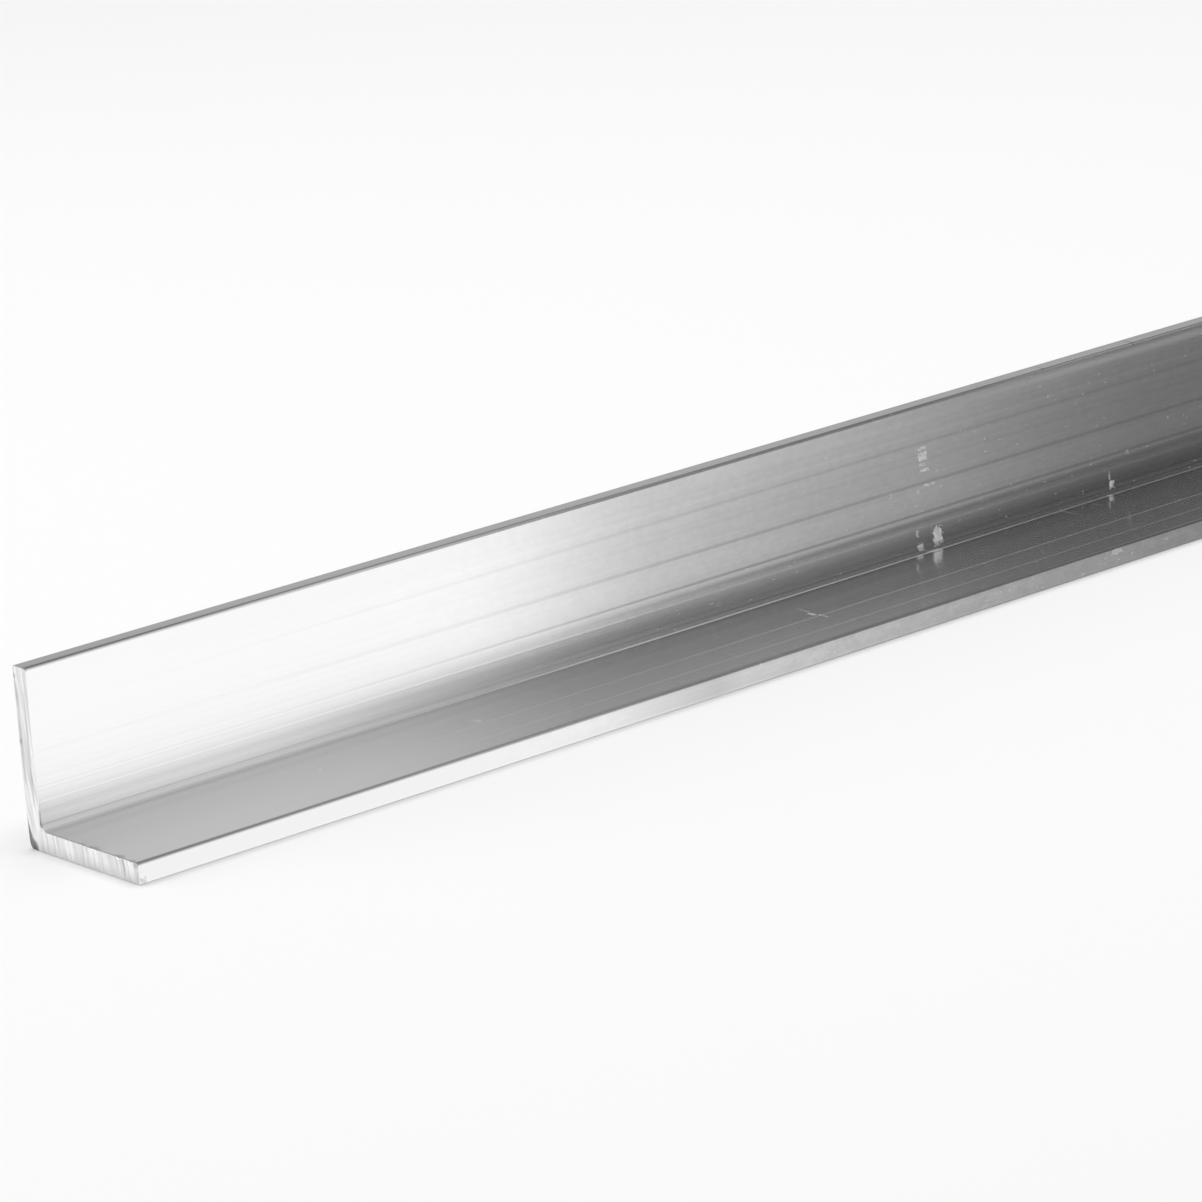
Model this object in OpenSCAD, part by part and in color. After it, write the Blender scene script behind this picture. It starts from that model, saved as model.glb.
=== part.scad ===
// Equal-leg aluminium angle, extruded in one piece and sawn square to length.
// X runs along the bar, the foot lies on the floor and reaches towards -Y,
// and the upright stands along the +Y side. Millimetres.

/* [Bar] */
// Length that the bar is sold in
bar_l = 300; // [50:10:3000]
// Outside width of each leg, measured over the heel
leg_w = 25; // [16:1:60]
// Thickness of both legs
wall_t = 3; // [2:0.1:6]

/* [Edges] */
// Radius of the root fillet between the two inside faces
root_r = 1.2; // [0.5:0.1:6]
// Radius that the die leaves on the outside of the heel
heel_r = 1; // [0.3:0.1:3]
// Radius on the four long edges of the two toes
toe_r = 0.4; // [0.1:0.05:0.9]

/* [Finish] */
// Colour of bare mill-finish aluminium
mill_colour = "#cdced0"; // [#cdced0, #b9babc, #dcdcdc]

/* [Hidden] */
$fn = 64;
// How far a cutter reaches past the face that it cuts
past = 1;

// What lies outside a round corner of radius r at the origin, with the metal towards +X and +Y
module corner_waste(r) {
  difference() {
    translate([-past, -past]) square(r + past);
    translate([r, r]) circle(r);
  }
}

// Metal that fills the inside corner at the origin, up to a concave arc of radius r
module root_fill(r) {
  difference() {
    square(r);
    translate([r, r]) circle(r);
  }
}

// The two legs with sharp edges, heel at the origin, foot along +X and upright along +Y
module sharp_legs() {
  square([leg_w, wall_t]);
  square([wall_t, leg_w]);
}

// The extruded section: sharp legs, less the rounded corners, with the root filled
module section() {
  difference() {
    sharp_legs();
    corner_waste(heel_r);
    translate([leg_w, 0]) rotate(90) corner_waste(toe_r);
    translate([leg_w, wall_t]) rotate(180) corner_waste(toe_r);
    translate([0, leg_w]) rotate(-90) corner_waste(toe_r);
    translate([wall_t, leg_w]) rotate(180) corner_waste(toe_r);
  }
  translate([wall_t, wall_t]) root_fill(root_r);
}

// The bar: the section pushed through its length, then laid along X with its box centred
module angle_bar() {
  color(mill_colour)
    translate([-bar_l / 2, leg_w / 2, 0])
      rotate([90, 0, 90])
        linear_extrude(bar_l)
          mirror([1, 0])
            section();
}

angle_bar();
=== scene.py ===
# %% [markdown]
# # A length of aluminium angle
#
# The object is one piece of raw stock: an equal-leg angle of 25 mm by 25 mm with a
# 3 mm wall. A maker pushes a hot billet through a steel die, stretches the bar
# straight and saws it to length, and does nothing else to it. The shop calls that
# mill finish. So the looks come from three things: the faint lines that the die
# drew along the bar, the coarse face that the saw left, and a few rubs from handling.
#
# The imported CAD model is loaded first. It gives the size and the place, and nothing
# here moves it. Blender works in metres, so a millimetre gets a name.

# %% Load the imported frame
from math import atan2, ceil, cos, exp, hypot, pi, radians, sin, tan

import bpy
from mathutils import Matrix, Vector
from mathutils.geometry import delaunay_2d_cdt
from mathutils.noise import noise


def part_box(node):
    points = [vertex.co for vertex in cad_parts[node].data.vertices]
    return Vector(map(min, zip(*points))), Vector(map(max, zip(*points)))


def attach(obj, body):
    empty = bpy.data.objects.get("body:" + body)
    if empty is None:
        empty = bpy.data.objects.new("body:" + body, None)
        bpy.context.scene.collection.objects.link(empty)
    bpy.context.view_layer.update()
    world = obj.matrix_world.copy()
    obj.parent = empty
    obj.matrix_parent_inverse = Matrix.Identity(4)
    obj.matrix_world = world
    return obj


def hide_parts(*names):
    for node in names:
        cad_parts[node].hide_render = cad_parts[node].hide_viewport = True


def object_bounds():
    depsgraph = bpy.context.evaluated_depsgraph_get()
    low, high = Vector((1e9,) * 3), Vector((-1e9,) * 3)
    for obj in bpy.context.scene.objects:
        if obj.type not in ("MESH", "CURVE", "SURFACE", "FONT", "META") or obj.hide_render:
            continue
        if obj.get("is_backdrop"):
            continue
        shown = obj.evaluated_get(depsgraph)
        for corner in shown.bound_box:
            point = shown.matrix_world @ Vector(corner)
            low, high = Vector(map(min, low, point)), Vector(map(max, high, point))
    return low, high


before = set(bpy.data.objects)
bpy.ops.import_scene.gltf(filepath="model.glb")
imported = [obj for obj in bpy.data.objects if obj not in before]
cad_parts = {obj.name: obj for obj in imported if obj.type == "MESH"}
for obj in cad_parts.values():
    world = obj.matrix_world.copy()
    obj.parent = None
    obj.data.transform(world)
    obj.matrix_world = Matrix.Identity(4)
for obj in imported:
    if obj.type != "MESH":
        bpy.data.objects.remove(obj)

MM = 0.001
cad_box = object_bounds()
low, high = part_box("angle_bar")
LENGTH = high.x - low.x
LEG = high.z - low.z
print(f"bar {LENGTH / MM:.1f} mm long, legs {LEG / MM:.1f} mm")

# %% [markdown]
# ## Standing where the photographer stood
#
# A long lens far away keeps the long edges almost parallel, and a short lens close
# by makes them run together. The edges in the picture run together only a little,
# which gives a long lens from most of a metre. The camera is turned by three plain
# angles: round to the right, down, and a slight roll.

# %% Camera
LENS = 171.46
FILM_WIDTH = 36
STANDPOINT = Vector((-536.25, -592.22, 227.58)) * MM
LOOKS_RIGHT = radians(38.751)
LOOKS_DOWN = radians(15.711)
ROLL = radians(4.874)


def add_object(name, data):
    """A new object in the scene that shows the data."""
    added = bpy.data.objects.new(name, data)
    bpy.context.scene.collection.objects.link(added)
    return added


camera_data = bpy.data.cameras.new("camera")
camera_data.lens = LENS
camera_data.sensor_width = FILM_WIDTH
camera_data.clip_start = 0.05
camera = add_object("camera", camera_data)
turn_right = Matrix.Rotation(-LOOKS_RIGHT, 4, "Z")
tip_down = Matrix.Rotation(pi / 2 - LOOKS_DOWN, 4, "X")
roll_over = Matrix.Rotation(-ROLL, 4, "Z")
camera.matrix_world = Matrix.Translation(STANDPOINT) @ turn_right @ tip_down @ roll_over
bpy.context.scene.camera = camera
print("camera looks along", (camera.matrix_world.to_3x3() @ Vector((0, 0, -1))).to_tuple(3))

# %% [markdown]
# ## The section that the die gives
#
# Every slice across the bar is the same L with rounded corners, so the shape is one
# outline swept along a straight line. A bevel modifier on a boxy L could round the
# corners, but it gives no hold on the fine lines between them. Here the outline is
# walked in small steps instead, and each corner is turned on its own radius.
# A point's x is its place across the floor here, and its y is its height.

# %% Corners of the section
WALL = 3 * MM
HEEL_RADIUS = 1 * MM
ROOT_RADIUS = 1.2 * MM
TOE_RADIUS = 0.4 * MM

toe_y, back_y, top_z = low.y, high.y, high.z
inner_y = back_y - WALL
CORNERS = [
    (Vector((toe_y, 0)), TOE_RADIUS),
    (Vector((back_y, 0)), HEEL_RADIUS),
    (Vector((back_y, top_z)), TOE_RADIUS),
    (Vector((inner_y, top_z)), TOE_RADIUS),
    (Vector((inner_y, WALL)), ROOT_RADIUS),
    (Vector((toe_y, WALL)), TOE_RADIUS),
]
HEAD_EDGE, ROOT, TOE_EDGE = 3, 4, 5


def arc_centre(i):
    """The centre of corner i's arc, and the directions to the corners before and after."""
    corner, radius = CORNERS[i]
    before = (CORNERS[i - 1][0] - corner).normalized()
    after = (CORNERS[(i + 1) % len(CORNERS)][0] - corner).normalized()
    return corner + (before + after) * radius, before, after


print("the root turns about", [round(number / MM, 2) for number in arc_centre(ROOT)[0]])

# %% Outline of the section
STEP_ROUND = 0.12 * MM
LEAST_TURNS = 8


def rounded_outline(step):
    """Points round the section, about a step apart, anticlockwise from the toe."""
    points = []
    for i, (corner, radius) in enumerate(CORNERS):
        centre, before, after = arc_centre(i)
        turns = max(LEAST_TURNS, ceil(radius * pi / 2 / step))
        for k in range(turns + 1):
            angle = pi / 2 * k / turns
            points.append(centre - radius * (after * cos(angle) + before * sin(angle)))
        next_corner, next_radius = CORNERS[(i + 1) % len(CORNERS)]
        end = next_corner - after * next_radius
        start = corner + after * radius
        steps = ceil((end - start).length / step)
        points += [start.lerp(end, k / steps) for k in range(1, steps)]
    return points


outline = rounded_outline(STEP_ROUND)
count = len(outline)
around = [0.0]
for k, point in enumerate(outline):
    around.append(around[-1] + (outline[(k + 1) % count] - point).length)
GIRTH = around[-1]
print(f"outline of {count} points, {GIRTH / MM:.1f} mm round")

# %% [markdown]
# ## Die lines
#
# The mouth of the die is polished steel, and every scratch or bit of scale in it
# draws a line down the whole bar. Most are a few thousandths of a millimetre deep.
# They could be bump in the material alone, but then the exported mesh would be
# smooth. So the coarser ones are moved points, and only the finest are bump.
# Two grooves on the inside of the upright are deeper than the rest. Everything lies
# inwards of the ideal face, and a ridge only less so, which keeps the bar in its box.
# A line has its place, half its width and its height, all in millimetres.

# %% Relief of the die lines
DIE_SWELLS = [(3.1 * MM, 0.0012 * MM), (0.9 * MM, 0.0004 * MM)]
DIE_GROOVES = [(19.3, 0.16, 0.010), (13.4, 0.18, 0.013)]
DIE_RIDGES = [(9.0, 0.14, 0.006), (8.45, 0.12, 0.005), (6.7, 0.14, 0.005)]
RIDGE_FLOOR = 0.007 * MM


def bell(distance, width):
    """1 at no distance, falling smoothly to nothing past twice the width."""
    return exp(-(distance / width) ** 2)


def strength_of(lines, place):
    """What a list of lines adds up to at a place across them."""
    return sum(strength * bell(place - at * MM, wide * MM) for at, wide, strength in lines)


def on_face(coordinate, face):
    """True where a place across, or a height, is that of a flat face."""
    return abs(coordinate - face) < STEP_ROUND


def outward(k):
    """Direction out of the metal at point k of the outline."""
    along = outline[(k + 1) % count] - outline[k - 1]
    return Vector((along.y, -along.x)).normalized()


def die_depth(point, distance):
    """How far a point of the outline lies under the ideal face."""
    depth = RIDGE_FLOOR
    for period, height in DIE_SWELLS:
        depth += height * (1 + noise(Vector((distance / period, period / MM, 0))))
    if on_face(point.x, inner_y):
        depth += MM * (strength_of(DIE_GROOVES, point.y) - strength_of(DIE_RIDGES, point.y))
    return depth


skin = [place - outward(k) * die_depth(place, around[k]) for k, place in enumerate(outline)]
deepest = max((p - q).length for p, q in zip(outline, skin))
print(f"deepest die line {deepest / MM * 1000:.0f} thousandths of a millimetre")

# %% [markdown]
# ## How the lines show
#
# A line a few thousandths of a millimetre deep is too shallow to see as shape. It
# shows because the metal in it is a little duller or brighter. That could be painted
# as a picture and wrapped round the bar, but a picture is one more file and blurs
# close by. Here each point of the mesh carries a number, its tone. A half is plain
# metal, 0 the darkest plain metal and 1 the palest. Below 0 the metal is painted
# darker still, and above 1 so pale that it hardly mirrors. Much of that is painted
# light: a dark painted reflection on the long edges near the near end, painted shade
# in the root, and a painted highlight along it.
# The lists give each line a place, half a width and a strength.

# %% Lines that stand out
FINE_TONES = [(2.6 * MM, 0.05), (1.1 * MM, 0.07), (0.55 * MM, 0.09), (0.3 * MM, 0.07)]
DARK_LINES = [(19.3, 0.24, 0.34), (13.3, 0.23, 0.50), (12.3, 0.16, 0.10), (8.92, 0.20, 0.50),
              (5.75, 0.32, 0.32), (16.1, 0.12, 0.08), (22.4, 0.14, 0.10)]
LIGHT_LINES = [(12.85, 0.14, 0.14), (11.0, 0.5, 0.12), (8.35, 0.15, 0.45),
               (6.65, 0.20, 0.30), (4.8, 0.14, 0.15), (20.6, 0.12, 0.10)]
FOOT_LIGHT_LINES = [(14.8, 0.2, 0.85), (20.4, 0.2, 0.75), (9.4, 0.2, 0.15)]
FINE_SEED = 7
# The root's side towards the upright is darkened: painted shade in the inner corner.
ROOT_PAINTED_SHADE, ROOT_PAINTED_SHADE_AT, ROOT_PAINTED_SHADE_TURN = 1.15, radians(25), radians(24)


def fine_tone(distance):
    """Swing in tone of the finest lines at a distance round the section."""
    return sum(height * noise(Vector((distance / period, FINE_SEED, period / MM)))
               for period, height in FINE_TONES)


def from_back(point):
    """Distance of a section point from the outside face of the upright."""
    return back_y - point.x


def turned_at_root(point):
    """Angle turned round the root from the upright, 0 to a quarter turn, and -1 off the root."""
    offset = arc_centre(ROOT)[0] - point
    if offset.x > 0 or offset.y < 0 or offset.length > ROOT_RADIUS + STEP_ROUND:
        return -1.0
    return atan2(offset.y, -offset.x)


def lines_and_root_shade(point):
    """Extra tone of the lines that stand out at a point of the section, less painted root shade."""
    tone = 0.0
    if on_face(point.x, inner_y):
        tone += strength_of(LIGHT_LINES, point.y) - strength_of(DARK_LINES, point.y)
    if on_face(point.y, WALL):
        tone += strength_of(FOOT_LIGHT_LINES, from_back(point))
    return tone - ROOT_PAINTED_SHADE * bell(turned_at_root(point) - ROOT_PAINTED_SHADE_AT, ROOT_PAINTED_SHADE_TURN)


shades = [lines_and_root_shade(point) for point in outline]
print(f"lines change the tone by {min(shades):.2f} to {max(shades):.2f}")

# %% [markdown]
# ## Tone that changes along the bar
#
# The long upper edges carry painted reflection: painted dark towards the near end,
# where they stand for the dark room that they mirror, and painted pale further on.
# The far half has a pale strip under the head of the upright and a dark one low down,
# and the toe has one dull stretch. Each could be a material of its own, but materials
# meet in a hard border, and a sum of smooth bells has none. A station is a distance
# from the near end.

# %% Painted reflection on the edges
HALF_START, HALF_FULL = 105 * MM, 190 * MM
EDGE_REFLECTION_NEAR, EDGE_REFLECTION_FAR = -1.75, 0.4
EDGE_MIDDLE, EDGE_TURN = radians(66), radians(28)
BAND_INWARDS, BAND_ON_FOOT, BAND_ON_HEAD = 0.6 * MM, 0.7, 0.5
HEAD_HIGHLIGHT, HEAD_HIGHLIGHT_TURN = 0.8, radians(38)


def progress(value, start, full):
    """How far a value has come from start to full, held between 0 and 1."""
    return min(1.0, max(0.0, (value - start) / (full - start)))


def turned_at_edge(point, edge):
    """Angle turned round an upper edge from the inside face, or None off that edge."""
    offset = point - arc_centre(edge)[0]
    if offset.x > 0 or offset.y < 0 or offset.length >= 2 * TOE_RADIUS:
        return None
    return atan2(offset.y, -offset.x)


def edge_share(point):
    """1 along the two long upper edges on the inside, and 0 away from them."""
    share = 0.0
    for edge in (HEAD_EDGE, TOE_EDGE):
        turned = turned_at_edge(point, edge)
        if turned is not None:
            share = bell(turned - EDGE_MIDDLE, EDGE_TURN)
    for edge_y, height, most in ((toe_y, WALL, BAND_ON_FOOT), (inner_y, top_z, BAND_ON_HEAD)):
        inwards = point.x - edge_y - TOE_RADIUS
        if 0 < inwards < BAND_INWARDS and on_face(point.y, height):
            share = most * (1 - inwards / BAND_INWARDS)
    return share


def edge_painted_reflection(point, station):
    """Painted reflection on the long upper edges: dark at the near end, pale further on."""
    tone = edge_share(point) * (EDGE_REFLECTION_NEAR + (EDGE_REFLECTION_FAR - EDGE_REFLECTION_NEAR) * progress(station, 0, HALF_FULL))
    turned = turned_at_edge(point, HEAD_EDGE)
    if turned is not None:
        far = progress(station, HALF_START, HALF_FULL)
        tone += HEAD_HIGHLIGHT * far * bell(turned - HEAD_HIGHLIGHT_TURN, HEAD_HIGHLIGHT_TURN)
    return tone


# Points on the long upper edges carry the painted reflection.
print(sum(edge_share(point) > 0 for point in outline), "points of the outline lie on a worn edge")

# %% Strips along the bar
TOP_STRIP, STRIP_WIDE, TOP_STRIP_PALE = 23.6 * MM, 1.0 * MM, 0.75
LOW_STRIP, LOW_STRIP_WIDE, LOW_STRIP_DARK = 7.65 * MM, 0.55 * MM, 0.62
LOW_STRIP_STARTS, LOW_STRIP_FULL = 60 * MM, 150 * MM
DULL_TOE, DULL_RUN, TOE_DULLED, TOE_NEAR_DARK = 100 * MM, 20 * MM, 0.60, 0.25
HEAD_DARK, HEAD_DARK_RUN = 0.3, 40 * MM
# A pale line along the root, where it meets the foot, is a painted highlight. It comes in some way from
# the near end.
ROOT_HIGHLIGHT, ROOT_HIGHLIGHT_AT, ROOT_HIGHLIGHT_TURN = 1.45, radians(76), radians(10)
ROOT_HIGHLIGHT_STARTS, ROOT_HIGHLIGHT_FULL, ROOT_HIGHLIGHT_FADES = 50 * MM, 100 * MM, 0.4


def strips_and_root_highlight(point, station):
    """Extra tone of the strips on the faces, and of the painted highlight along the root where it ends.
    """
    far = progress(station, HALF_START, HALF_FULL)
    line = ROOT_HIGHLIGHT * bell(turned_at_root(point) - ROOT_HIGHLIGHT_AT, ROOT_HIGHLIGHT_TURN)
    tone = line * (1 - ROOT_HIGHLIGHT_FADES * far) * progress(station, ROOT_HIGHLIGHT_STARTS, ROOT_HIGHLIGHT_FULL)
    if on_face(point.x, inner_y):
        tone += TOP_STRIP_PALE * far * bell(point.y - TOP_STRIP, STRIP_WIDE)
        low_share = progress(station, LOW_STRIP_STARTS, LOW_STRIP_FULL)
        tone -= LOW_STRIP_DARK * low_share * bell(point.y - LOW_STRIP, LOW_STRIP_WIDE)
    if on_face(point.x, toe_y):
        tone -= TOE_DULLED * bell(station - DULL_TOE, DULL_RUN)
        tone -= TOE_NEAR_DARK if station < DULL_TOE else 0.0
    if on_face(point.y, top_z):
        tone -= HEAD_DARK * max(far, 1 - progress(station, 0, HEAD_DARK_RUN))
    return tone


print(f"pale line at the root starts at {ROOT_HIGHLIGHT_STARTS / MM:.0f} mm")

# %% [markdown]
# ## All tones together
#
# Close to the near end the inside is so bright that the drawn lines drown in it, so
# they come in further along. Those low on the upright show from the start, and
# stronger, because the metal there is the darkest.

# %% Tone of the skin
PLAIN_TONE = 0.5
LINES_START, LINES_FULL = 35 * MM, 120 * MM
LOW_DOWN, LEAST_LOW_DOWN, LOW_DOWN_GAIN = 7.2 * MM, 0.55, 2.4


def skin_tone(k, station):
    """Tone of the metal at point k of the outline and a station along the bar."""
    point = outline[k]
    shown, fine = progress(station, LINES_START, LINES_FULL), fine_tone(around[k])
    if WALL < point.y < LOW_DOWN and point.x > inner_y - STEP_ROUND:
        shown, fine = max(LEAST_LOW_DOWN, shown), LOW_DOWN_GAIN * fine
    along_bar = edge_painted_reflection(point, station) + strips_and_root_highlight(point, station)
    return PLAIN_TONE + shown * (fine + lines_and_root_shade(point)) + along_bar


halfway = [skin_tone(k, LENGTH / 2) for k in range(count)]
print(f"tones halfway along run from {min(halfway):.2f} to {max(halfway):.2f}")

# %% [markdown]
# ## The swell at the root
#
# The inside faces are not quite flat: both rise by a few degrees of slope towards the
# root, and a mirror shows even that. The points could be moved, but the legs would
# leave their stock size for something that can't be measured in a picture. So each
# point carries a height for a bump node, which tilts the reflection and leaves the
# shape alone. SLOPES lists heights on the upright from the top down, with the slope
# at each.

# %% Height of the swell
SLOPES = [(16.0 * MM, 0.0), (12.0 * MM, 0.045), (9.6 * MM, 0.068), (8.8 * MM, 0.082),
          (6.6 * MM, 0.088), (WALL + ROOT_RADIUS, 0.100)]
SLOPE_AT_ROOT = 0.094
FOOT_SWELL_ENDS = 16 * MM


def upright_swell(z):
    """Height of the swell on the upright at a height z."""
    height = 0.0
    for (above, slope), (below, steeper) in zip(SLOPES, SLOPES[1:]):
        stop = min(max(z, below), above)
        here = slope + (steeper - slope) * (above - stop) / (above - below)
        height += (slope + here) / 2 * (above - stop)
    return height


def foot_swell(reach):
    """Height of the swell on the foot at a distance from the upright."""
    run = FOOT_SWELL_ENDS - ROOT_RADIUS
    return SLOPE_AT_ROOT * (FOOT_SWELL_ENDS - min(reach, FOOT_SWELL_ENDS)) ** 2 / run / 2


UPRIGHT_RISE, FOOT_RISE = upright_swell(WALL + ROOT_RADIUS), foot_swell(ROOT_RADIUS)


def root_swell(point):
    """Height of the swell at a point of the outline, carried smoothly round the root."""
    if on_face(point.y, WALL) and point.x <= inner_y - ROOT_RADIUS:
        return foot_swell(inner_y - point.x)
    if on_face(point.x, inner_y) and point.y >= WALL + ROOT_RADIUS:
        return upright_swell(point.y)
    turned = turned_at_root(point)
    if turned < 0:
        return 0.0
    share = turned / (pi / 2)
    bulge = (SLOPES[-1][1] + SLOPE_AT_ROOT) / 2 * ROOT_RADIUS * turned * (1 - share)
    return UPRIGHT_RISE + bulge + (FOOT_RISE - UPRIGHT_RISE) * share**2 * (3 - 2 * share)


print(f"swell of {UPRIGHT_RISE / MM:.2f} mm on the upright and {FOOT_RISE / MM:.2f} mm on the foot")

# %% [markdown]
# ## What the saw does
#
# The bar was cut by a round blade of about 250 mm, fed in from the toe's side. Each
# tooth leaves an arc about the blade's centre, so the marks are streaks across the
# distance from that centre, and a few bite deep into the foot. A saw cut could be a
# flat face with a picture of marks on it, but this end is what one sees first, so
# its relief is in the mesh. A deep streak has its distance from the back, half its
# width and its depth in millimetres.

# %% Streaks of the saw
BLADE_CENTRE = Vector((back_y - 133.7 * MM, 33.9 * MM))
SAW_STREAKS = [(1.3 * MM, 0.014 * MM), (0.45 * MM, 0.008 * MM), (0.2 * MM, 0.004 * MM)]
STREAK_RUN = 0.12
DEEP_STREAKS = [(21.75, 0.16, 0.09), (21.1, 0.10, 0.04), (18.8, 0.30, 0.03), (12.6, 0.13, 0.03),
                (10.9, 0.16, 0.03), (6.8, 0.12, 0.025), (20.0, 0.10, 0.03)]
ENDS = {
    "near": {"rise": tan(radians(1.0)), "swing": tan(radians(0.44)), "seed": 3},
    "far": {"rise": tan(radians(0.4)), "swing": tan(radians(-0.3)), "seed": 11},
}


def streak_noise(point, period, seed):
    """Noise that is drawn out along the saw's arcs and fine across them."""
    arm = point - BLADE_CENTRE
    run = atan2(arm.y, arm.x) / STREAK_RUN * MM / period
    return noise(Vector((arm.length / period, run, seed)))


def deep_streaks(point):
    """Depth of the few deep streaks that cross the near end of the foot."""
    reach, depth = (point - BLADE_CENTRE).length, 0.0
    for across, wide, deep in DEEP_STREAKS:
        middle = (Vector((back_y - across * MM, WALL / 2)) - BLADE_CENTRE).length
        depth += deep * MM * bell(reach - middle, wide * MM)
    return depth


def saw_marks(point, end):
    """Depth of all the saw's streaks at a point of a cut face."""
    depth = 0.0
    for period, height in SAW_STREAKS:
        depth += height * (1 + streak_noise(point, period, end["seed"]))
    if end is ENDS["near"] and point.y < 2 * WALL:
        depth += deep_streaks(point)
    return depth


print(len(SAW_STREAKS), "sizes of streak, and", len(DEEP_STREAKS), "deep ones on the near end")

# %% [markdown]
# ## Tone of the cut
#
# Fresh metal is bright, and the bottom of a deep streak is dark because little light
# gets in. The cut of the upright has two grey lines, where the blade dwelt, and
# there are three small nicks. These are tones on the points again. A grey line has
# its distance from the back, half its width, its foot and its head in millimetres,
# and its strength. A nick has its distance, height and half width, and its strength.

# %% Tone of the cut ends
CUT_PLAIN, CUT_SEED, GREY_LINE_ENDS = 0.75, 5, 0.4
CUT_TONES = [(1.5 * MM, 0.30), (0.5 * MM, 0.35), (0.22 * MM, 0.25)]
DEEP_DARKENS = 9.0 / MM
GREY_LINES = [(0.55, 0.20, 9, 23, 0.40), (2.05, 0.22, 6, 22, 0.50)]
NICKS = [(0.15, 14.7, 0.30, 0.9), (0.2, 23.6, 0.30, 0.7), (24.5, 2.6, 0.35, 0.6)]


def cut_tone(point, end):
    """Tone of a cut face: its streaks and, on the near end, its own marks."""
    tone = CUT_PLAIN
    for period, height in CUT_TONES:
        tone += height * streak_noise(point, period, end["seed"] + CUT_SEED)
    if end is not ENDS["near"]:
        return tone
    if point.y < WALL:
        tone -= DEEP_DARKENS * deep_streaks(point)
    for across, wide, foot, head, dark in GREY_LINES:
        up = (point.y / MM - foot) / (head - foot)
        if 0 < up < 1:
            fade = sin(pi * up) ** GREY_LINE_ENDS
            tone -= dark * fade * bell(from_back(point) - across * MM, wide * MM)
    for across, height, wide, dark in NICKS:
        middle = Vector((back_y - across * MM, height * MM))
        tone -= dark * bell((middle - point).length, wide * MM)
    return tone


print(len(GREY_LINES), "grey lines and", len(NICKS), "nicks on the near end")

# %% [markdown]
# ## Off square, and filed
#
# The set-back of a point is how far inside the square end the cut lies. It adds up
# the lean of the cut, the streaks, and the sharp heel that someone took off the near
# end with a file. A curve under 1 hollows the border of the file's patch, so it runs
# thin up the back. A boolean cut would leave a crisp edge where a file leaves a soft
# one.

# %% Set-back of the cut ends
FILED_ACROSS, FILED_UP, FILED_DEEP = 2.3 * MM, 5.7 * MM, 0.14 * MM
FILED_CURVE = 0.75


def filed(point):
    """0 outside the patch that the file took off the heel, and towards 1 at the heel."""
    across = max(0.0, from_back(point)) / FILED_ACROSS
    up = max(0.0, point.y) / FILED_UP
    return max(0.0, 1 - across**FILED_CURVE - up**FILED_CURVE)


def set_back(point, end):
    """How far inside the square end the cut lies at a point of the section."""
    hinge_y = toe_y if end["swing"] > 0 else back_y
    inside = point.y * end["rise"] + (point.x - hinge_y) * end["swing"] + saw_marks(point, end)
    if end is ENDS["near"]:
        inside += FILED_DEEP * filed(point)
    return inside


for name, end in ENDS.items():
    deepest = max(set_back(point, end) for point in outline)
    print(f"{name} end lies up to {deepest / MM:.2f} mm inside the square end")

# %% [markdown]
# ## Sweeping the skin along the bar
#
# The skin is rings of the same outline. Rings stand close together at both ends,
# where the ragged edge fades out, and a few millimetres apart between, which is
# plenty for a straight bar and keeps the file small. An array modifier could repeat
# one ring, but each ring here has its own lean, wear and tones. A break-out has its
# distance from the back, half its width and its depth in millimetres.

# %% Ragged edge next to a cut
EDGE_BREAK, EDGE_BREAK_RUN = 0.03 * MM, 0.04 * MM
RAGGED, RAGGED_PERIOD, RAGGED_RUN, RAGGED_SEED = 0.02 * MM, 0.5 * MM, 0.09 * MM, 5
BREAK_OUTS = [(15.0, 0.9, 0.16), (20.6, 0.7, 0.24), (12.3, 0.5, 0.10), (23.6, 0.5, 0.12)]
BREAK_OUT_RUN, BREAK_OUT_HEIGHT = 0.25 * MM, 0.3 * MM


def edge_wear(point, distance, run, end):
    """How far the edge is pulled into the metal at a run from the cut."""
    worn = EDGE_BREAK * max(0.0, 1 - run / EDGE_BREAK_RUN)
    ragged = RAGGED * (1 + noise(Vector((distance / RAGGED_PERIOD, RAGGED_SEED, end["seed"]))))
    worn += ragged * bell(run, RAGGED_RUN)
    on_foot_top = abs(point.y - WALL) < BREAK_OUT_HEIGHT and point.x < inner_y
    if end is ENDS["near"] and on_foot_top:
        worn += MM * strength_of(BREAK_OUTS, from_back(point)) * exp(-run / BREAK_OUT_RUN)
    return worn


print(len(BREAK_OUTS), "places where the teeth broke out of the foot's upper edge")

# %% Rings of the skin
RING_STARTS = [0, 0.04, 0.1, 0.18, 0.28, 0.42, 0.6, 0.9, 1.4, 2.2, 3.6, 6, 10]
RING_GAP = 5 * MM
LEAN_FADES = 10 * MM

starts = [mark * MM for mark in RING_STARTS]
middle_length = LENGTH - 2 * starts[-1]
middle_count = ceil(middle_length / RING_GAP)
stations = list(starts)
stations += [starts[-1] + middle_length * k / middle_count for k in range(1, middle_count)]
stations += [LENGTH - start for start in reversed(starts)]

points, tones, filed_off = [], [], []
for station in stations:
    near_end = station < LENGTH / 2
    end = ENDS["near"] if near_end else ENDS["far"]
    run = station if near_end else LENGTH - station
    fade = max(0.0, 1 - run / LEAN_FADES)
    for k, place in enumerate(skin):
        across = place - outward(k) * edge_wear(outline[k], around[k], run, end)
        shift = set_back(outline[k], end) * fade
        x = low.x + station + (shift if near_end else -shift)
        points.append((x, across.x, across.y))
        tones.append(skin_tone(k, station))
        filed_off.append(filed(outline[k]) if station == 0 else 0.0)
print(f"{len(stations)} rings of {count} points")

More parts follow.
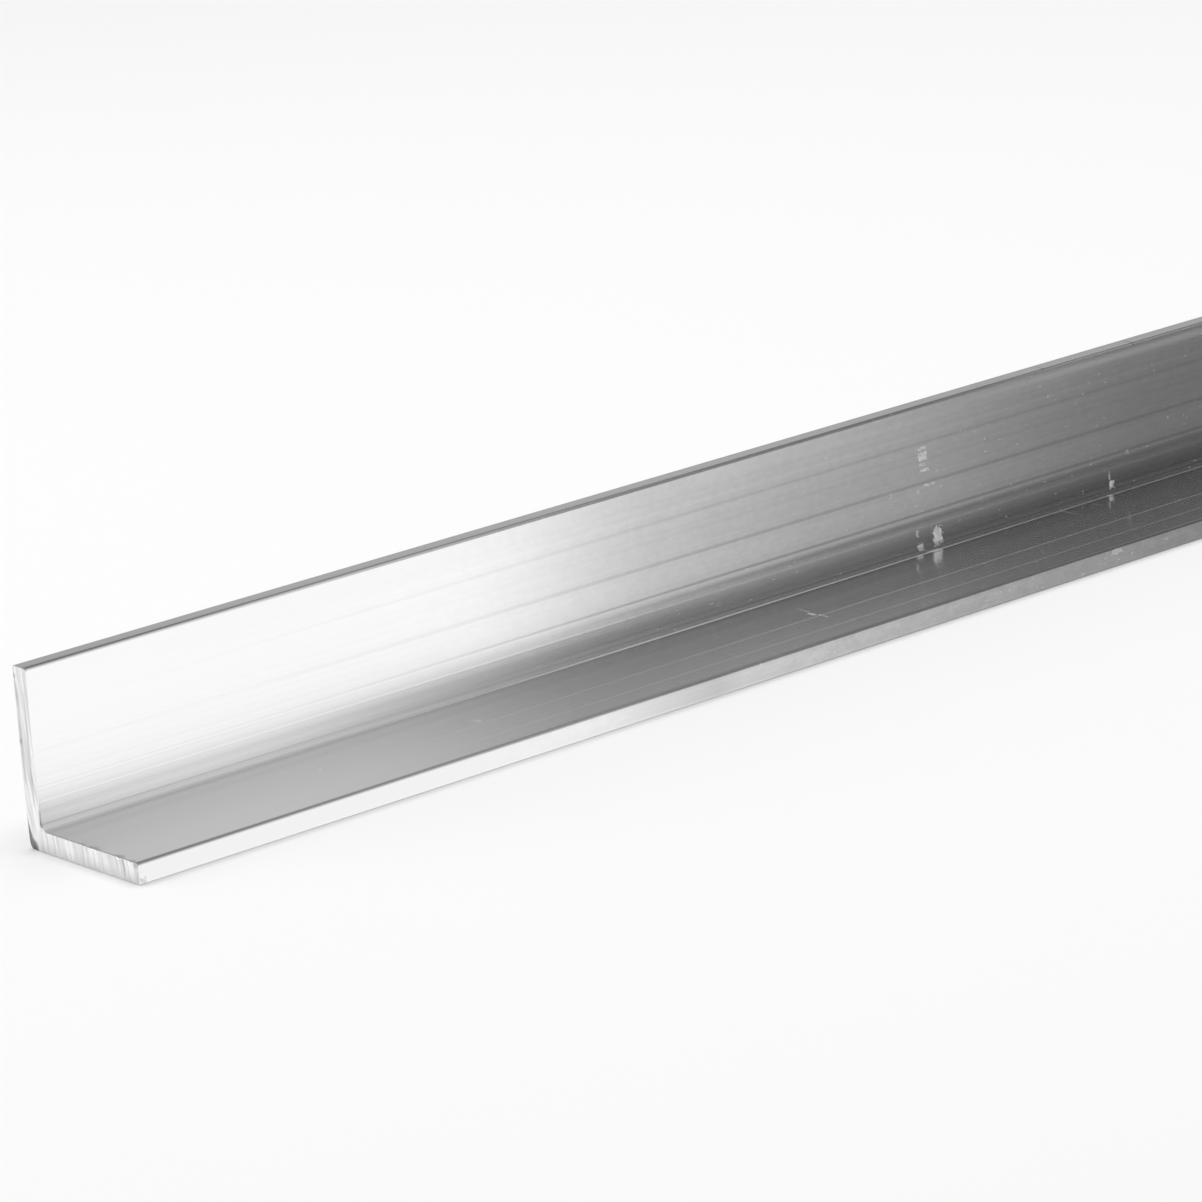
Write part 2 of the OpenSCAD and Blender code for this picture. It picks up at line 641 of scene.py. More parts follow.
# %% Faces of the skin
faces, die_map = [], []
for i in range(len(stations) - 1):
    for k in range(count):
        after = (k + 1) % count
        faces.append((i * count + k, i * count + after, (i + 1) * count + after, (i + 1) * count + k))
        u, v = around[k] / GIRTH, around[k + 1] / GIRTH
        x, y = stations[i] / LENGTH, stations[i + 1] / LENGTH
        die_map += [(u, x), (v, x), (v, y), (u, y)]
skin_faces = len(faces)
print(f"{skin_faces} faces in the skin")

# %% [markdown]
# ## Closing the ends
#
# A cut face needs a net of points inside the L, fine across the saw's streaks and
# coarser along them. A plain grid would cut across the streaks and show steps. So
# the points lie on arcs about the blade's centre, and a Delaunay triangulation
# joins them to the rim. The rim's points are the skin's own last ring, so that the
# solid is closed with no gap.

# %% Net of points on a cut face
ARC_GAP = 0.085 * MM
ALONG_ARC = 0.3 * MM
RIM_ROOM = 0.06 * MM
SPARE_ROWS = 10
SWEEP, SWEEP_BELOW = 2 * LEG, 1.3 * LEG


def well_inside(point):
    """True for a point that lies in the L and clear of its rim."""
    in_foot = RIM_ROOM < point.y < WALL - RIM_ROOM and point.x > toe_y + RIM_ROOM
    in_upright = inner_y + RIM_ROOM < point.x < back_y - RIM_ROOM
    if not (in_foot or in_upright) or point.x > back_y - RIM_ROOM:
        return False
    if not RIM_ROOM < point.y < top_z - RIM_ROOM:
        return False
    for i, (_, radius) in enumerate(CORNERS):
        centre, before, after = arc_centre(i)
        offset = point - centre
        past = offset.dot(before) < 0 and offset.dot(after) < 0
        if i != ROOT and past and offset.length > radius - RIM_ROOM:
            return False
    return True


def net_points():
    """Points on arcs about the blade's centre that lie well inside the L."""
    reaches = [(corner - BLADE_CENTRE).length for corner, _ in CORNERS]
    found = []
    rows = ceil((max(reaches) - min(reaches)) / ARC_GAP)
    for row in range(rows + 2 * SPARE_ROWS):
        reach = min(reaches) - SPARE_ROWS * ARC_GAP + row * ARC_GAP
        for k in range(ceil(SWEEP / ALONG_ARC)):
            angle = (k + 0.5 * (row % 2)) * ALONG_ARC / reach - SWEEP_BELOW / reach
            point = BLADE_CENTRE + reach * Vector((cos(angle), sin(angle)))
            if well_inside(point):
                found.append(point)
    return found


net = net_points()
print(len(net), "points in the net")

# %% Cut faces
INSIDE_ONLY, JOIN_WITHIN = 1, 1e-6


def saw_place(point):
    """A point's distance from the blade's centre and its place along the arc, for the map."""
    arm = point - BLADE_CENTRE
    return (arm.length / LEG, atan2(arm.y, arm.x) * BLADE_CENTRE.length / LEG)


def close_end(ring, end, near_end):
    """Adds the cut face that closes one ring of the skin."""
    rim = [Vector(points[ring * count + k][1:]) / MM for k in range(count)]
    plan = rim + [point / MM for point in net]
    edges = [(k, (k + 1) % count) for k in range(count)]
    flat, _, triangles, origins, _, _ = delaunay_2d_cdt(plan, edges, [], INSIDE_ONLY, JOIN_WITHIN)
    index = []
    for place, origin in zip(flat, origins):
        if origin and origin[0] < count:
            index.append(ring * count + origin[0])
            continue
        point = place * MM
        shift = set_back(point, end)
        x = low.x + shift if near_end else high.x - shift
        index.append(len(points))
        points.append((x, point.x, point.y))
        tones.append(cut_tone(point, end))
        filed_off.append(filed(point) if near_end else 0.0)
    for triangle in triangles:
        corners = [index[k] for k in triangle]
        if near_end:
            corners.reverse()
        faces.append(tuple(corners))
        die_map.extend(saw_place(Vector(points[k][1:])) for k in corners)


close_end(0, ENDS["near"], True)
close_end(len(stations) - 1, ENDS["far"], False)
print(f"{len(faces) - skin_faces} faces on the two cut ends")

# %% [markdown]
# ## One closed mesh
#
# The points, the faces and the numbers on the points now become one mesh, which
# takes the CAD bar's place. Smooth shading blends the small steps round the corners.
# Edges sharper than a set angle stay crisp, like the rim of the cut ends.

# %% Mesh of the bar
CRISP_FROM = radians(35)

mesh = bpy.data.meshes.new("aluminium_angle")
mesh.from_pydata(points, [], faces)
layer = mesh.uv_layers.new(name="die_map")
layer.data.foreach_set("uv", [number for pair in die_map for number in pair])
swells = [root_swell(point) / MM for point in outline] * len(stations)
swells += [0.0] * (len(points) - len(swells))
for name, values in (("metal_tone", tones), ("root_swell", swells), ("filed_off", filed_off)):
    mesh.attributes.new(name, "FLOAT", "POINT").data.foreach_set("value", values)
mesh.validate()
mesh.shade_smooth()
mesh.set_sharp_from_angle(angle=CRISP_FROM)
bar = add_object("aluminium_angle", mesh)
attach(bar, "root")
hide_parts("angle_bar")
loose = [edge for edge in mesh.edges if edge.is_loose]
triangles = sum(len(face.vertices) - 2 for face in mesh.polygons)
print(f"{triangles} triangles, {len(loose)} loose edges")

# %% [markdown]
# ## Wiring a material in a few words
#
# A node tree built by script gets long, because each node is made, set and wired in
# separate lines. Small helpers keep the later cells about the metal: they set or
# wire a socket, make a node, do a sum, blend, or make noise stretched along an axis.

# %% Helpers for nodes and sums
def plug(tree, socket, value):
    """Wires a socket to another one, or sets it to a plain value."""
    if isinstance(value, bpy.types.NodeSocket):
        tree.links.new(value, socket)
    else:
        socket.default_value = value


def make_node(tree, kind, **settings):
    """A node with its sockets and options set by name, wired where a socket is given."""
    node = tree.nodes.new(kind)
    for name, value in settings.items():
        title = name.replace("_", " ").title()
        if title in node.inputs:
            plug(tree, node.inputs[title], value)
        else:
            setattr(node, name, value)
    return node


def maths(tree, operation, first, second=0.0, clamp=False):
    """The result of one sum on two numbers or sockets."""
    node = make_node(tree, "ShaderNodeMath", operation=operation, use_clamp=clamp)
    plug(tree, node.inputs[0], first)
    plug(tree, node.inputs[1], second)
    return node.outputs[0]


def vector_maths(tree, operation, first, second=(0, 0, 0)):
    """The result of one sum on two vectors."""
    node = make_node(tree, "ShaderNodeVectorMath", operation=operation)
    plug(tree, node.inputs[0], first)
    plug(tree, node.inputs[1], second)
    return node.outputs["Value" if operation == "LENGTH" else "Vector"]


def split(tree, vector):
    """The x, y and z of a vector."""
    return make_node(tree, "ShaderNodeSeparateXYZ", vector=vector).outputs


print("five helpers for nodes and sums")

# %% Helpers for blends and noise
NOISE_LOW, NOISE_HIGH = 0.3, 0.7


def ramp(tree, value, start, stop, low_value=0.0, high_value=1.0):
    """A value taken smoothly from one range to another."""
    node = make_node(tree, "ShaderNodeMapRange", value=value, from_min=start, from_max=stop,
                     to_min=low_value, to_max=high_value, interpolation_type="SMOOTHSTEP")
    return node.outputs[0]


def blend(tree, share, first, second, kind="FLOAT"):
    """The first value at a share of 0 and the second at 1, numbers or (as RGBA) colours."""
    node = make_node(tree, "ShaderNodeMix", data_type=kind)
    for name, value in zip(("Factor", "A", "B"), (share, first, second)):
        plug(tree, node.inputs[name], value)
    return node.outputs["Result"]


def stretched_noise(tree, place, per_metre, detail=3.0, roughness=0.55):
    """Noise whose grain has its own fineness along x, y and z."""
    scaled = make_node(tree, "ShaderNodeMapping", vector=place, scale=per_metre)
    grain = make_node(tree, "ShaderNodeTexNoise", vector=scaled.outputs[0], scale=1.0,
                      detail=detail, roughness=roughness)
    return grain.outputs[0]


def swing(tree, grain, amount):
    """Noise turned into a swing of up to an amount either way."""
    return ramp(tree, grain, NOISE_LOW, NOISE_HIGH, -amount, amount)


def carried(tree, name):
    """A number that the points of the mesh carry."""
    return make_node(tree, "ShaderNodeAttribute", attribute_name=name).outputs["Fac"]


print("and five for blends and noise")

# %% [markdown]
# ## Marks from handling
#
# Other stock knocked against the inside of this bar and left short pale dashes, and
# something was dragged over the foot. One dark mark, beside the near end, is a painted
# shadow where a saw burr would shade the upright. Each mark is a small box in space,
# and the metal inside it is marked. Texture paint would be quicker, but boxes stay
# sharp close by. Noise added to the distance tears their edges, and more stipples them.
#
# A mark has its middle and half its size in millimetres, and its strength.

# %% Places of the marks
SCUFFS = [
    ("first dash on the upright", (9.0, 9.5, 18.5), (1.0, 0.6, 0.28), 0.8),
    ("second dash, the widest", (9.0, 9.5, 17.3), (0.95, 0.6, 0.7), 1.0),
    ("third dash", (9.1, 9.5, 16.1), (0.85, 0.6, 0.24), 0.7),
    ("fourth dash", (9.2, 9.5, 15.2), (1.0, 0.6, 0.28), 0.9),
    ("long dash below them", (10.0, 9.5, 12.8), (1.2, 0.6, 0.28), 0.8),
    ("dot beside it", (7.9, 9.5, 12.3), (0.35, 0.6, 0.35), 0.7),
    ("knock above the root", (11.0, 9.5, 4.85), (0.95, 0.6, 1.35), 1.0),
    ("lesser knock beside it", (7.4, 9.5, 3.9), (0.6, 0.7, 0.6), 0.8),
    ("dot above the lesser knock", (7.0, 9.5, 6.0), (0.25, 0.6, 0.5), 0.6),
    ("far knock", (47.0, 9.5, 4.3), (0.5, 0.6, 0.65), 1.0),
    ("stalk of the far knock", (46.7, 9.5, 5.8), (0.18, 0.6, 0.7), 0.5),
    ("curl above the far knock", (50.6, 9.5, 8.6), (0.4, 0.6, 0.35), 0.4),
    ("first stroke across the foot", (-23.0, 1.2, 3.0), (0.22, 1.2, 0.5), 0.35),
    ("second stroke across the foot", (-23.5, -0.9, 3.0), (0.34, 0.8, 0.5), 0.6),
    ("third stroke across the foot", (-23.1, -2.9, 3.0), (0.26, 1.1, 0.5), 0.4),
    ("far scratch on the foot", (35.4, 6.9, 3.0), (0.2, 1.6, 0.5), 0.2),
    ("second far scratch", (40.9, 6.7, 3.0), (0.2, 1.2, 0.5), 0.2),
    ("speck on the foot", (-111.3, -0.3, 3.0), (0.3, 0.4, 0.5), 0.4),
    ("pair of specks", (-84.7, -0.7, 3.0), (0.4, 0.9, 0.5), 0.3),
    ("knock on the toe", (26.0, -12.5, 2.3), (1.1, 0.5, 0.4), 0.7),
]
DARK_MARKS = [
    # The first dark mark is painted shadow, where a saw burr would shade the upright.
    ("painted shadow of a saw burr", (-149.8, 9.5, 4.5), (0.22, 0.5, 1.1), 0.7),
    ("tick on the top edge", (53.2, 10.6, 25.0), (0.28, 1.2, 0.5), 0.7),
    ("nick at the near foot of the toe", (-149.4, -12.5, 0.5), (0.5, 0.4, 0.5), 0.5),
    ("lesser tick on the top edge", (34.5, 10.6, 25.0), (0.25, 1.0, 0.5), 0.5),
]
print(len(SCUFFS), "pale marks and", len(DARK_MARKS), "dark ones")

# %% Mask of the marks
TORN = 2.0
TORN_INSIDE, TORN_OUTSIDE = 1.75, 2.05
STIPPLE_LOW, STIPPLE_HIGH, STIPPLE_LEAST = 0.38, 0.58, 0.45


def marks_mask(tree, place, marks):
    """Up to 1 inside the box-shaped marks and 0 on clean metal."""
    torn = maths(tree, "MULTIPLY", stretched_noise(tree, place, (1900, 1900, 1900), roughness=0.7), TORN)
    total = 0.0
    for _, middle, half, strength in marks:
        away = vector_maths(tree, "SUBTRACT", place, Vector(middle) * MM)
        away = vector_maths(tree, "DIVIDE", away, Vector(half) * MM)
        sides = split(tree, vector_maths(tree, "ABSOLUTE", away))
        farthest = maths(tree, "MAXIMUM", maths(tree, "MAXIMUM", sides[0], sides[1]), sides[2])
        edge = maths(tree, "ADD", farthest, torn)
        inside = ramp(tree, edge, TORN_INSIDE, TORN_OUTSIDE, strength, 0.0)
        total = maths(tree, "MAXIMUM", total, inside)
    stipple = stretched_noise(tree, place, (2600, 2600, 3200), detail=2.0, roughness=0.6)
    stipple = ramp(tree, stipple, STIPPLE_LOW, STIPPLE_HIGH, STIPPLE_LEAST, 1.0)
    return maths(tree, "MULTIPLY", total, stipple)


print("a stippled mark keeps at least", STIPPLE_LEAST, "of its strength")

# %% [markdown]
# ## Mill finish
#
# Bare aluminium is all reflection: it has no paint colour of its own, and what makes
# it look like this stock is how the reflection is smeared. Die lines smear it across
# the bar and hardly at all along it, which is what anisotropy does in the shader.
# The tangent says which way is across, and it comes from the map that was unrolled
# with the mesh. On top lie the tones of the lines, a fine mottle, and the marks. A
# picture of brushed metal could do this too, but noise keeps its grain close by.

# %% Grain of the skin
mill = bpy.data.materials.new("mill_finish")
mill.use_nodes = True
tree = mill.node_tree
metal = tree.nodes["Principled BSDF"]
place = make_node(tree, "ShaderNodeTexCoord").outputs["Object"]
hair_lines = stretched_noise(tree, place, (0.6, 2000, 2000), detail=1.5, roughness=0.6)
mottle = stretched_noise(tree, place, (900, 1100, 1100))
cloud = stretched_noise(tree, place, (60, 110, 110))
blotches = stretched_noise(tree, place, (330, 900, 700), detail=4.0)
along_bar, across_floor, _ = split(tree, place)
tone_with_painted_light = carried(tree, "metal_tone")

grain = maths(tree, "ADD", swing(tree, hair_lines, 0.08), swing(tree, mottle, 0.08))
grain = maths(tree, "ADD", grain, swing(tree, cloud, 0.04))
on_toe = ramp(tree, across_floor, toe_y + 0.1 * MM, toe_y + 0.3 * MM, 1.0, 0.0)
toe_grain = maths(tree, "MULTIPLY", on_toe, ramp(tree, blotches, 0.35, 0.65, -0.10, 0.12))
grain = maths(tree, "ADD", grain, toe_grain)
shown = ramp(tree, along_bar, low.x + LINES_START, low.x + LINES_FULL)
tone = maths(tree, "ADD", tone_with_painted_light, maths(tree, "MULTIPLY", grain, shown), clamp=True)
print("grain of the skin from", sum(node.type == "TEX_NOISE" for node in tree.nodes), "noises")

# %% Colour of the skin
PLAIN_DARK, PLAIN_PALE = (0.68, 0.68, 0.685, 1), (0.94, 0.94, 0.945, 1)
RUBBED, WORN_AND_SHADED = (0.95, 0.95, 0.955, 1), (0.30, 0.30, 0.305, 1)

specks = stretched_noise(tree, place, (1500, 2600, 2600), detail=0.0)
specks = maths(tree, "MULTIPLY", ramp(tree, specks, 0.78, 0.85, 0.0, 0.6), shown)
scuffs = marks_mask(tree, place, SCUFFS)
bright = maths(tree, "MAXIMUM", scuffs, specks)
# Tone below 0 is mostly painted shade: the dark painted reflection on the edges near the near end, and
# the shade in the root. The dark marks add wear and one painted shadow.
worn = maths(tree, "MULTIPLY", tone_with_painted_light, -1.0, clamp=True)
worn = maths(tree, "MAXIMUM", marks_mask(tree, place, DARK_MARKS), worn)
colour = blend(tree, tone, PLAIN_DARK, PLAIN_PALE, "RGBA")
colour = blend(tree, bright, colour, RUBBED, "RGBA")
colour = blend(tree, worn, colour, WORN_AND_SHADED, "RGBA")
plug(tree, metal.inputs["Base Color"], colour)
print("plain metal reflects", PLAIN_DARK[0], "to", PLAIN_PALE[0], "of the light")

# %% Smear and shine of the skin
SMOOTH, ROUGHER, LINES_ROUGHEN, SCUFFS_ROUGHEN = 0.14, 0.165, 0.10, 0.55
BRIGHT_DULLS, PALE_DULLS = 0.5, 0.55

standing_out = maths(tree, "ABSOLUTE", maths(tree, "SUBTRACT", tone_with_painted_light, PLAIN_TONE))
smear = ramp(tree, hair_lines, NOISE_LOW, NOISE_HIGH, SMOOTH, ROUGHER)
smear = maths(tree, "ADD", smear, maths(tree, "MULTIPLY", scuffs, SCUFFS_ROUGHEN))
smear = maths(tree, "ADD", smear, ramp(tree, standing_out, 0.15, 0.6, 0.0, LINES_ROUGHEN))
plug(tree, metal.inputs["Roughness"], smear)
# Tone above 1, chiefly the painted highlight along the root, makes the metal less metallic and so paler.
pale = maths(tree, "MULTIPLY", maths(tree, "SUBTRACT", tone_with_painted_light, 1.0, clamp=True), PALE_DULLS)
dulled = maths(tree, "MAXIMUM", maths(tree, "MULTIPLY", bright, BRIGHT_DULLS), pale)
plug(tree, metal.inputs["Metallic"], maths(tree, "SUBTRACT", 1.0, dulled))
metal.inputs["Anisotropic"].default_value = 0.7
across = make_node(tree, "ShaderNodeTangent", direction_type="UV_MAP", uv_map="die_map")
plug(tree, metal.inputs["Tangent"], across.outputs[0])
print(f"roughness from {SMOOTH} up to {SMOOTH + SCUFFS_ROUGHEN:.2f} in a scuff")

# %% Swell and hair lines
HAIR_LINE_DEPTH = 0.0003 * MM

swell = make_node(tree, "ShaderNodeBump", height=carried(tree, "root_swell"), distance=MM, strength=1.0)
hairs = make_node(tree, "ShaderNodeBump", height=hair_lines, distance=HAIR_LINE_DEPTH, strength=1.0,
                  normal=swell.outputs[0])
plug(tree, metal.inputs["Normal"], hairs.outputs[0])
mesh.materials.append(mill)
print("mill finish has", len(tree.nodes), "nodes")

# %% [markdown]
# ## Cut faces
#
# A saw leaves brighter metal than the die does, because the face is fresh. The same
# arcs that shape the mesh also streak the tone here, finer than the mesh could. The
# patch that the file left on the heel is a little rougher, and it is painted dark:
# painted shade for the shaded floor behind the bar that its slope mirrors. Two
# materials would meet there in a jagged line of triangles, so one material blends
# by a number that the points carry.

# %% Streaks of the cut faces
cut = bpy.data.materials.new("sawn_face")
cut.use_nodes = True
tree = cut.node_tree
metal = tree.nodes["Principled BSDF"]
place = make_node(tree, "ShaderNodeTexCoord").outputs["Object"]
arm = split(tree, vector_maths(tree, "SUBTRACT", place, (low.x, BLADE_CENTRE.x, BLADE_CENTRE.y)))
flat = make_node(tree, "ShaderNodeCombineXYZ", y=arm[1], z=arm[2])
reach = vector_maths(tree, "LENGTH", flat.outputs[0])
streak_place = make_node(tree, "ShaderNodeCombineXYZ", x=reach, y=arm[2])
streaks = stretched_noise(tree, streak_place.outputs[0], (2600, 160, 1), detail=4.0, roughness=0.7)
shade = maths(tree, "ADD", carried(tree, "metal_tone"), swing(tree, streaks, 0.15), clamp=True)
filed_share = ramp(tree, carried(tree, "filed_off"), 0.0, 0.16)
print("streaks take", len(tree.nodes), "nodes")

# %% Finish of the cut faces
SAWN_DARK, SAWN_PALE = (0.42, 0.42, 0.425, 1), (0.97, 0.97, 0.97, 1)
# The filed patch's colours, far darker than sawn metal, are painted shade.
FILED_SHADE_DARK, FILED_SHADE_PALE = (0.08, 0.08, 0.085, 1), (0.30, 0.30, 0.305, 1)
SAWN_SMOOTH, SAWN_ROUGH, FILE_ROUGHENS = 0.3, 0.45, 0.05
STREAK_DEPTH = 0.01 * MM

sawn_colour = blend(tree, shade, SAWN_DARK, SAWN_PALE, "RGBA")
filed_shade_colour = blend(tree, shade, FILED_SHADE_DARK, FILED_SHADE_PALE, "RGBA")
plug(tree, metal.inputs["Base Color"], blend(tree, filed_share, sawn_colour, filed_shade_colour, "RGBA"))
smear = ramp(tree, streaks, NOISE_LOW, NOISE_HIGH, SAWN_SMOOTH, SAWN_ROUGH)
smear = maths(tree, "ADD", smear, maths(tree, "MULTIPLY", filed_share, FILE_ROUGHENS))
plug(tree, metal.inputs["Roughness"], smear)
metal.inputs["Metallic"].default_value = 1.0
bump = make_node(tree, "ShaderNodeBump", height=streaks, distance=STREAK_DEPTH, strength=1.0)
plug(tree, metal.inputs["Normal"], bump.outputs[0])
mesh.materials.append(cut)
SAWN = 1
for face in mesh.polygons[skin_faces:]:
    face.material_index = SAWN
print("cut faces finished:", len(mesh.polygons) - skin_faces)

# %% [markdown]
# ## A plain pale studio
#
# The floor is matt and nearly white, and one soft box hangs overhead and another
# behind to the left, so the shadow stays soft. The room is mid grey, because metal
# in an all-white room has nothing dark to mirror. A sun lamp would be one line, but
# its hard shadow says outdoors.

# %% Floor
FLOOR_ACROSS = 24.0
floor_mesh = bpy.data.meshes.new("floor")
half = FLOOR_ACROSS / 2
floor_corners = [(-half, -half, 0), (half, -half, 0), (half, half, 0), (-half, half, 0)]
floor_mesh.from_pydata(floor_corners, [], [(0, 1, 2, 3)])
floor = add_object("floor", floor_mesh)
floor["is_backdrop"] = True
floor_paint = bpy.data.materials.new("floor_paint")
floor_paint.use_nodes = True
paint = floor_paint.node_tree.nodes["Principled BSDF"]
paint.inputs["Base Color"].default_value = (0.9, 0.9, 0.9, 1)
paint.inputs["Roughness"].default_value = 1.0
paint.inputs["Specular IOR Level"].default_value = 0.0
floor_mesh.materials.append(floor_paint)
print("floor is", FLOOR_ACROSS, "m across")

# %% Room and lamps
ROOM_GREY = 0.46
world = bpy.data.worlds.new("room")
world.use_nodes = True
world.node_tree.nodes["Background"].inputs["Color"].default_value = (ROOM_GREY, ROOM_GREY, ROOM_GREY, 1)
bpy.context.scene.world = world


def soft_box(name, middle, target, width, height, brightness):
    """A rectangular lamp whose face is as bright as asked, where white paper would be 1."""
    data = bpy.data.lights.new(name, "AREA")
    data.shape, data.size, data.size_y = "RECTANGLE", width, height
    data.energy = brightness * pi * width * height
    lamp = add_object(name, data)
    aim = (Vector(target) - Vector(middle)).to_track_quat("-Z", "Y")
    lamp.matrix_world = Matrix.Translation(middle) @ aim.to_matrix().to_4x4()
    print(f"{name}: {width} m by {height} m, {data.energy:.1f} W")


soft_box("overhead", (0, 0.1, 1.4), (0, 0, 0), 1.6, 1.6, 2.0)
soft_box("behind_left", (-1.3, 1.3, 0.6), (-0.15, 0, 0), 1.2, 0.9, 1.75)

# %% [markdown]
# ## A card for the metal to mirror
#
# Metal shows whatever stands round it, so lighting it means choosing what it
# mirrors. In the picture the inside of the angle fades from white to grey along the
# bar, as it does when a white card near one end gives way to a dark room. So a
# curved card lies on the floor before the bar and rises over it. Only reflections
# see it. A picture of a real studio would be the usual way, but a card can be tuned.
#
# The first list is the part on the floor, which the upright mirrors. The others
# climb from the foot of the wall to overhead. Each gives a distance along the bar in
# millimetres and a grey, found by trying: render, compare, and change the number
# nearest to the difference.

# %% Tones of the card
FLOOR_TONES = [(0, 0.925), (62, 0.925), (75, 0.90), (86, 0.80), (97, 0.645), (108, 0.52), (120, 0.45),
               (143, 0.345), (167, 0.28), (191, 0.20), (214, 0.15), (260, 0.11)]
LOW_TONES = [(0, 0.72), (15, 0.60), (34, 0.47), (54, 0.37), (65, 0.305), (75, 0.238), (86, 0.18),
             (97, 0.135), (119, 0.125), (143, 0.112), (167, 0.097), (192, 0.077), (214, 0.055),
             (260, 0.04)]
MIDDLE_TONES = [(0, 0.60), (34, 0.555), (54, 0.45), (75, 0.355), (97, 0.275), (108, 0.288), (119, 0.318),
                (131, 0.298), (143, 0.284), (167, 0.262), (192, 0.245), (204, 0.205), (214, 0.17),
                (260, 0.12)]
UPPER_TONES = [(0, 0.50), (34, 0.43), (54, 0.33), (75, 0.225), (97, 0.175), (119, 0.15), (143, 0.135),
               (167, 0.115), (192, 0.095), (214, 0.08), (260, 0.06)]
ZENITH_TONES = [(0, 0.50), (34, 0.46), (54, 0.37), (75, 0.26), (97, 0.19), (119, 0.17), (143, 0.15),
                (167, 0.125), (192, 0.10), (214, 0.085), (260, 0.07)]
BACK_GREY = 0.17
CARD_PEAK = 1.3
print(f"card glows from {LOW_TONES[-1][1] * CARD_PEAK:.3f} to {FLOOR_TONES[0][1] * CARD_PEAK:.3f}")

# %% Shape of the card
CARD_RADIUS = 450 * MM
CARD_LIFT = 0.02 * MM
CARD_TURNS = 40
CARD_ARC = radians(140)
CARD_MARGIN = 80 * MM
CARD_RUN = 420 * MM
OVERHEAD_STARTS, OVERHEAD_FULL = radians(50), radians(80)
SLANT = tan(radians(37))
CARD_FROM_TOE = 0.25 * MM

profile = [(toe_y + CARD_FROM_TOE, CARD_LIFT)]
for k in range(CARD_TURNS + 1):
    angle = CARD_ARC * k / CARD_TURNS
    profile.append((inner_y - CARD_RADIUS * cos(angle), CARD_LIFT + CARD_RADIUS * sin(angle)))
near_side, far_side = [], []
for y, z in profile:
    slant = SLANT * hypot(y - inner_y, z)
    overhead = progress(atan2(z, inner_y - y), OVERHEAD_STARTS, OVERHEAD_FULL)
    near_side.append((low.x - CARD_MARGIN + slant * (1 - overhead), y, z))
    far_side.append((low.x + CARD_RUN + slant, y, z))
wide = len(profile)
card_faces = [(k, k + 1, wide + k + 1, wide + k) for k in range(wide - 1)]
card_mesh = bpy.data.meshes.new("reflection_card")
card_mesh.from_pydata(near_side + far_side, [], card_faces)
card = add_object("reflection_card", card_mesh)
card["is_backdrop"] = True
card.visible_camera = False
card.visible_diffuse = False
card.visible_shadow = False
card.visible_transmission = False
print(f"card of {len(card_faces)} faces, {CARD_RADIUS / MM:.0f} mm from the root")

# %% [markdown]
# ## Glow of the card
#
# The camera looks along the bar at a slant, so a mirrored ray leaves the bar at that
# slant too. Taking it off a place on the card gives the station that mirrors the
# place, which the lists are read by. Reach is the distance out from the root, and
# climb the angle up from the floor. The floor part is dimmer right by the bar, and
# brighter in a strip further out.

# %% Stations on the card
def tone_ramp(tree, along, listed):
    """Grey as listed at distances along the bar, in millimetres."""
    last = listed[-1][0] * MM
    node = make_node(tree, "ShaderNodeValToRGB", fac=maths(tree, "DIVIDE", along, last, clamp=True))
    while len(node.color_ramp.elements) < len(listed):
        node.color_ramp.elements.new(0.5)
    for element, (distance, grey) in zip(node.color_ramp.elements, listed):
        element.position = distance * MM / last
        element.color = (grey, grey, grey, 1)
    return node.outputs[0]


card_paint = bpy.data.materials.new("card_glow")
card_paint.use_nodes = True
tree = card_paint.node_tree
tree.nodes.remove(tree.nodes["Principled BSDF"])
x, y, z = split(tree, make_node(tree, "ShaderNodeTexCoord").outputs["Object"])
out = maths(tree, "SUBTRACT", inner_y, y)
reach = vector_maths(tree, "LENGTH", make_node(tree, "ShaderNodeCombineXYZ", x=out, y=z).outputs[0])
climb = maths(tree, "ARCTAN2", z, out)
along = maths(tree, "SUBTRACT", maths(tree, "SUBTRACT", x, low.x), maths(tree, "MULTIPLY", reach, SLANT))
print("mirrored rays go", round(SLANT, 3), "along for each 1 out")

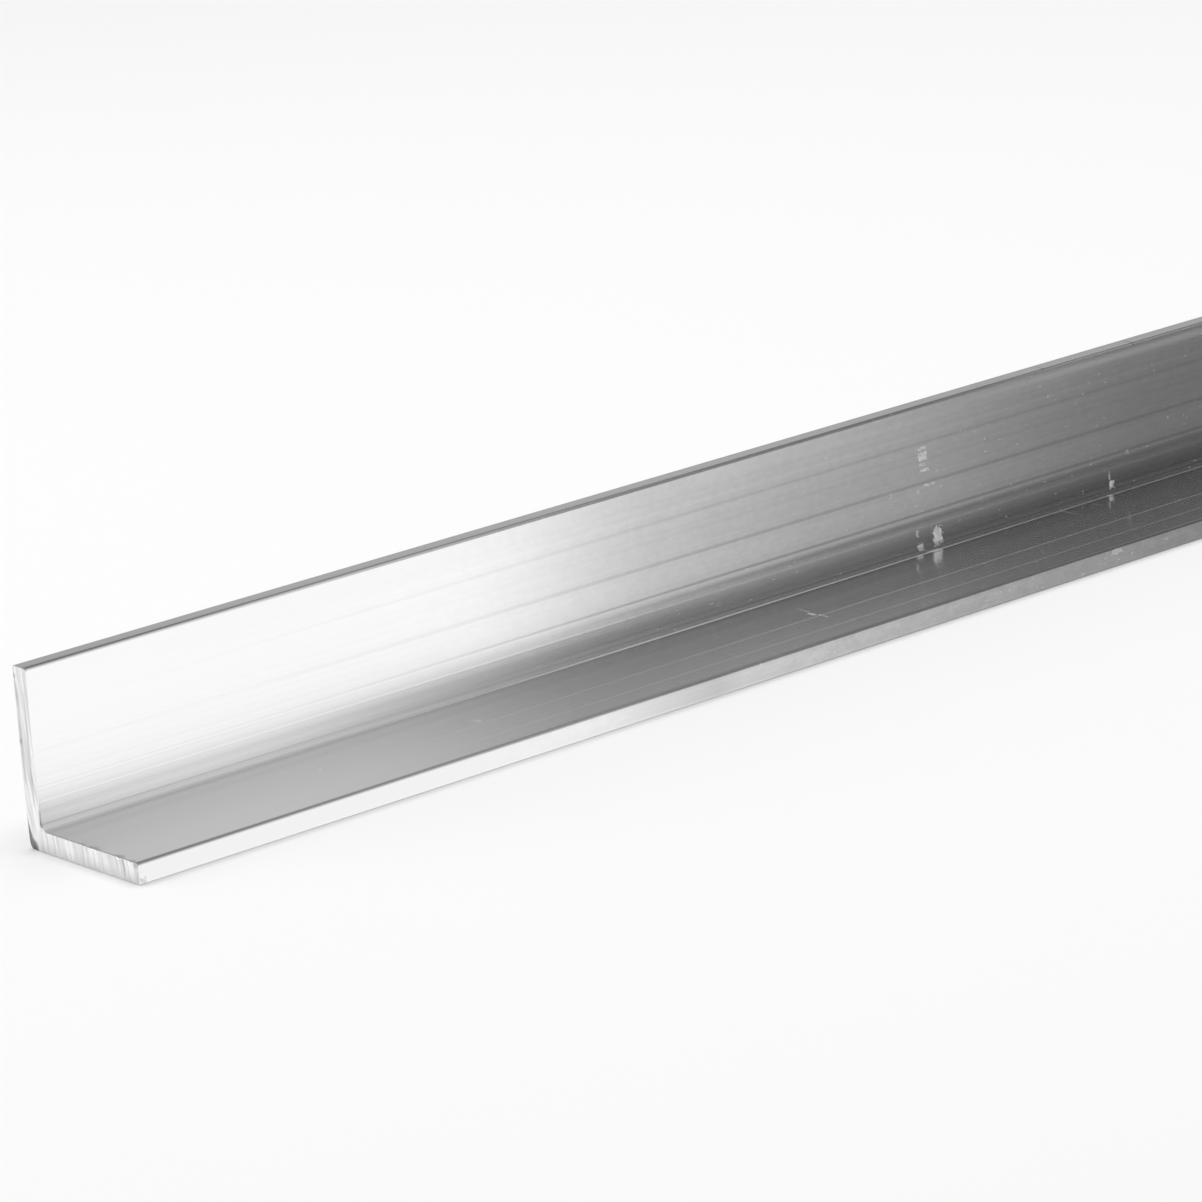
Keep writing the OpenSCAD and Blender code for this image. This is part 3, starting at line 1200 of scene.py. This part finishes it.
# %% Glow of the floor part
BY_BAR, BY_BAR_DIMS, BEYOND, BEYOND_GAINS = 25 * MM, -0.09, 50 * MM, 0.04
STRIP_STARTS, STRIP_FULL, STRIP_GAINS = 58 * MM, 64 * MM, 0.20

dimmer = ramp(tree, reach, BY_BAR, BEYOND, BY_BAR_DIMS, BEYOND_GAINS)
dimmer = maths(tree, "MULTIPLY", dimmer, ramp(tree, along, 55 * MM, 110 * MM))
far_strip = ramp(tree, reach, STRIP_STARTS, STRIP_FULL, 0.0, STRIP_GAINS)
far_strip = maths(tree, "MULTIPLY", far_strip, ramp(tree, along, 70 * MM, 150 * MM))
near_floor = tone_ramp(tree, along, FLOOR_TONES)
for change in (dimmer, far_strip):
    near_floor = maths(tree, "MULTIPLY", near_floor, maths(tree, "ADD", 1.0, change))
print("strip on the floor is", STRIP_GAINS, "brighter from", round(STRIP_FULL / MM), "mm out")

# %% Glow of the wall part
WALL_BANDS = [(15, 23, MIDDLE_TONES), (29, 42, UPPER_TONES), (56, 74, ZENITH_TONES)]
BACK_STARTS, BACK_FULL = radians(95), radians(108)
WALL_STARTS, WALL_FULL = 90 * MM, 170 * MM

wall = tone_ramp(tree, along, LOW_TONES)
for start, full, listed in WALL_BANDS:
    share = ramp(tree, climb, radians(start), radians(full))
    wall = blend(tree, share, wall, tone_ramp(tree, along, listed))
wall = blend(tree, ramp(tree, climb, BACK_STARTS, BACK_FULL), wall, BACK_GREY)
level = blend(tree, ramp(tree, reach, WALL_STARTS, WALL_FULL), near_floor, wall)
glow = make_node(tree, "ShaderNodeEmission", strength=maths(tree, "MULTIPLY", level, CARD_PEAK))
plug(tree, tree.nodes["Material Output"].inputs["Surface"], glow.outputs[0])
card_mesh.materials.append(card_paint)
print("card glow has", len(tree.nodes), "nodes")

# %% [markdown]
# ## Picture settings and the two boxes
#
# The plain view transform shows colours as they were written. The last measure
# prints the box round the CAD bar and the box round this one, which lies inside.

# %% Picture settings and the two boxes
bpy.context.scene.view_settings.view_transform = "Standard"
visual_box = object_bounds()
for name, box in (("cad", cad_box), ("visual", visual_box)):
    print(name, [[round(number / MM, 3) for number in corner] for corner in box])
